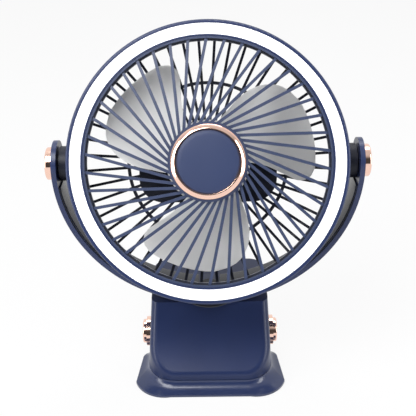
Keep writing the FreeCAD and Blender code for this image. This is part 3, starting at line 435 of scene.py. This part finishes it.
def liner_bands():
    """Sweeps the band's outline, with its two inner edges rolled, round the pivot."""
    bm = bmesh.new()
    outline = [(BAND_OUTER, BAND_HALF), (BAND_INNER + BAND_ROLL, BAND_HALF)]
    for a in map(math.radians, (30, 60, 90)):
        outline.append((BAND_INNER + BAND_ROLL - BAND_ROLL * math.sin(a),
                        BAND_HALF - BAND_ROLL + BAND_ROLL * math.cos(a)))
    outline += [(radius, -y) for radius, y in reversed(outline)]
    for first, last in BAND_SPANS:
        rings = []
        for i in range(BAND_STEPS + 1):
            a = math.radians(first + (last - first) * i / BAND_STEPS)
            rings.append([bm.verts.new(PIVOT + Vector((r * math.cos(a), y, r * math.sin(a))) * MM)
                          for r, y in outline])
        for one, two in zip(rings, rings[1:]):
            bridge(bm, one, two)
        bm.faces.new(rings[0])
        bm.faces.new(rings[-1])
    return bm


bands = mesh_object("liner_bands", liner_bands(), "dark_plastic", "yoke")
bands.data.materials[0] = finish_material(
    "liner_finish", (0.013, 0.017, 0.032), 0.22, rough_vary=0.03, specular=0.4, bump=0.02)
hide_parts("yoke_liner")


# Edges of the carried pieces

# Widths in metres
MOULDED_EDGE, SMALL_EDGE = 0.0006, 0.0003
SHARP_ANGLE = math.radians(35)


def soften(obj, width, segments):
    """Rounds the sharp edges a little, as moulding and plating do."""
    bevel = obj.modifiers.new("soft_edges", "BEVEL")
    bevel.width = width
    bevel.segments = segments
    bevel.limit_method = "ANGLE"
    bevel.angle_limit = SHARP_ANGLE
    bevel.use_clamp_overlap = True


for name in ("yoke_strap", "upper_jaw", "pod_shell", "swivel_saddle", "foot_cover"):
    soften(NODES[name], MOULDED_EDGE, 3)
for name in ("light_diffuser", "tilt_axle_left", "tilt_axle_right", "charge_port"):
    soften(NODES[name], SMALL_EDGE, 2)


# Floor, light and camera

FLOOR_SIZE, FLOOR_NOISE_SCALE = 4.0, 6.0
FLOOR_DARK, FLOOR_PALE = (0.70, 0.70, 0.71, 1), (0.75, 0.75, 0.76, 1)
# How much of the floor that the camera and reflections see is plain white
WHITE_SHARE = 0.9
# How bright the world is for diffuse light, against 1 for the camera and reflections
DIFFUSE_SHARE = 0.45
# The room is dim behind the camera (along -Y), and its ceiling is bright
ROOM_FROM_Y, ROOM_LIGHT = (-0.55, 0.25), (0.07, 1.0)
CEILING_FROM_Z, CEILING_LIGHT = (0.45, 0.9), (0.0, 0.7)


def floor():
    bm = bmesh.new()
    bmesh.ops.create_grid(bm, x_segments=1, y_segments=1, size=FLOOR_SIZE)
    mesh = bpy.data.meshes.new("floor")
    bm.to_mesh(mesh)
    bm.free()
    obj = bpy.data.objects.new("floor", mesh)
    bpy.context.scene.collection.objects.link(obj)

    material = bpy.data.materials.new("floor_pale")
    material.use_nodes = True
    tree = material.node_tree
    shader = tree.nodes["Principled BSDF"]
    coords = node(tree, "ShaderNodeTexCoord").outputs["Object"]
    tint = mixed(tree, "RGBA", spread(tree, coords, FLOOR_NOISE_SCALE, 0.0, 1.0),
                 FLOOR_DARK, FLOOR_PALE)
    tree.links.new(tint, shader.inputs["Base Color"])
    shader.inputs["Roughness"].default_value = 0.9
    shader.inputs["Specular IOR Level"].default_value = 0.1

    glow = node(tree, "ShaderNodeEmission", Strength=1.0)
    share = maths(tree, "MULTIPLY", seen_by(tree, "Is Camera Ray", "Is Glossy Ray"), WHITE_SHARE)
    surface = node(tree, "ShaderNodeMixShader")
    tree.links.new(share, surface.inputs["Fac"])
    tree.links.new(shader.outputs["BSDF"], surface.inputs[1])
    tree.links.new(glow.outputs["Emission"], surface.inputs[2])
    tree.links.new(surface.outputs["Shader"], tree.nodes["Material Output"].inputs["Surface"])
    mesh.materials.append(material)


def world():
    made = bpy.data.worlds.new("studio")
    bpy.context.scene.world = made
    made.use_nodes = True
    tree = made.node_tree
    tree.nodes.clear()
    way = node(tree, "ShaderNodeSeparateXYZ")
    tree.links.new(node(tree, "ShaderNodeTexCoord").outputs["Generated"], way.inputs["Vector"])
    room = ranged(tree, way.outputs["Y"], ROOM_FROM_Y, ROOM_LIGHT, interpolation_type="SMOOTHSTEP")
    ceiling = ranged(tree, way.outputs["Z"], CEILING_FROM_Z, CEILING_LIGHT,
                     interpolation_type="SMOOTHSTEP")
    backdrop = maths(tree, "MAXIMUM", maths(tree, "MAXIMUM", room, ceiling),
                     seen_by(tree, "Is Camera Ray"))
    seen = seen_by(tree, "Is Camera Ray", "Is Glossy Ray", "Is Transmission Ray")

    sky = node(tree, "ShaderNodeBackground")
    tree.links.new(backdrop, sky.inputs["Color"])
    tree.links.new(ranged(tree, seen, (0.0, 1.0), (DIFFUSE_SHARE, 1.0)), sky.inputs["Strength"])
    out = node(tree, "ShaderNodeOutputWorld")
    tree.links.new(sky.outputs["Background"], out.inputs["Surface"])


# Name, place in metres, power in watts, width and height
LAMPS = (
    ("key", (-0.40, -0.60, 1.10), 12.0, 0.7, 0.7),
    ("fill", (0.85, -0.45, 0.45), 6.0, 0.30, 1.0),
    ("left", (-0.85, -0.45, 0.45), 6.0, 0.30, 1.0),
    ("back", (0.1, 0.55, 1.25), 5.0, 0.8, 0.5),
)
LAMP_AIM = Vector((0, 0, 0.13))


def lamp(name, spot, power, width, height):
    data = bpy.data.lights.new(name, "AREA")
    data.shape = "RECTANGLE"
    data.size, data.size_y = width, height
    data.energy = power
    obj = bpy.data.objects.new(name, data)
    obj.location = spot
    obj.rotation_euler = (LAMP_AIM - Vector(spot)).to_track_quat("-Z", "Y").to_euler()
    bpy.context.scene.collection.objects.link(obj)


# The photograph looks straight down the head's axis, so from LEAN above the table
CAMERA_SPOT = (0.0, -0.4912, 0.3941)
CAMERA_ROLL = math.radians(-0.65)
# In mm, and the shift as a share of the picture
SENSOR_WIDTH, LENS = 36.0, 67.8
CAMERA_SHIFT = -0.1115


def camera():
    data = bpy.data.cameras.new("camera")
    data.sensor_width = SENSOR_WIDTH
    data.lens = LENS
    data.clip_start = 0.01
    data.shift_y = CAMERA_SHIFT
    obj = bpy.data.objects.new("camera", data)
    aim = Matrix.Rotation(math.radians(90) - LEAN, 4, "X")
    obj.matrix_world = Matrix.Translation(CAMERA_SPOT) @ aim @ Matrix.Rotation(CAMERA_ROLL, 4, "Z")
    bpy.context.scene.collection.objects.link(obj)
    bpy.context.scene.camera = obj


floor()
world()
for settings in LAMPS:
    lamp(*settings)
camera()
bpy.context.scene.view_settings.view_transform = "Standard"
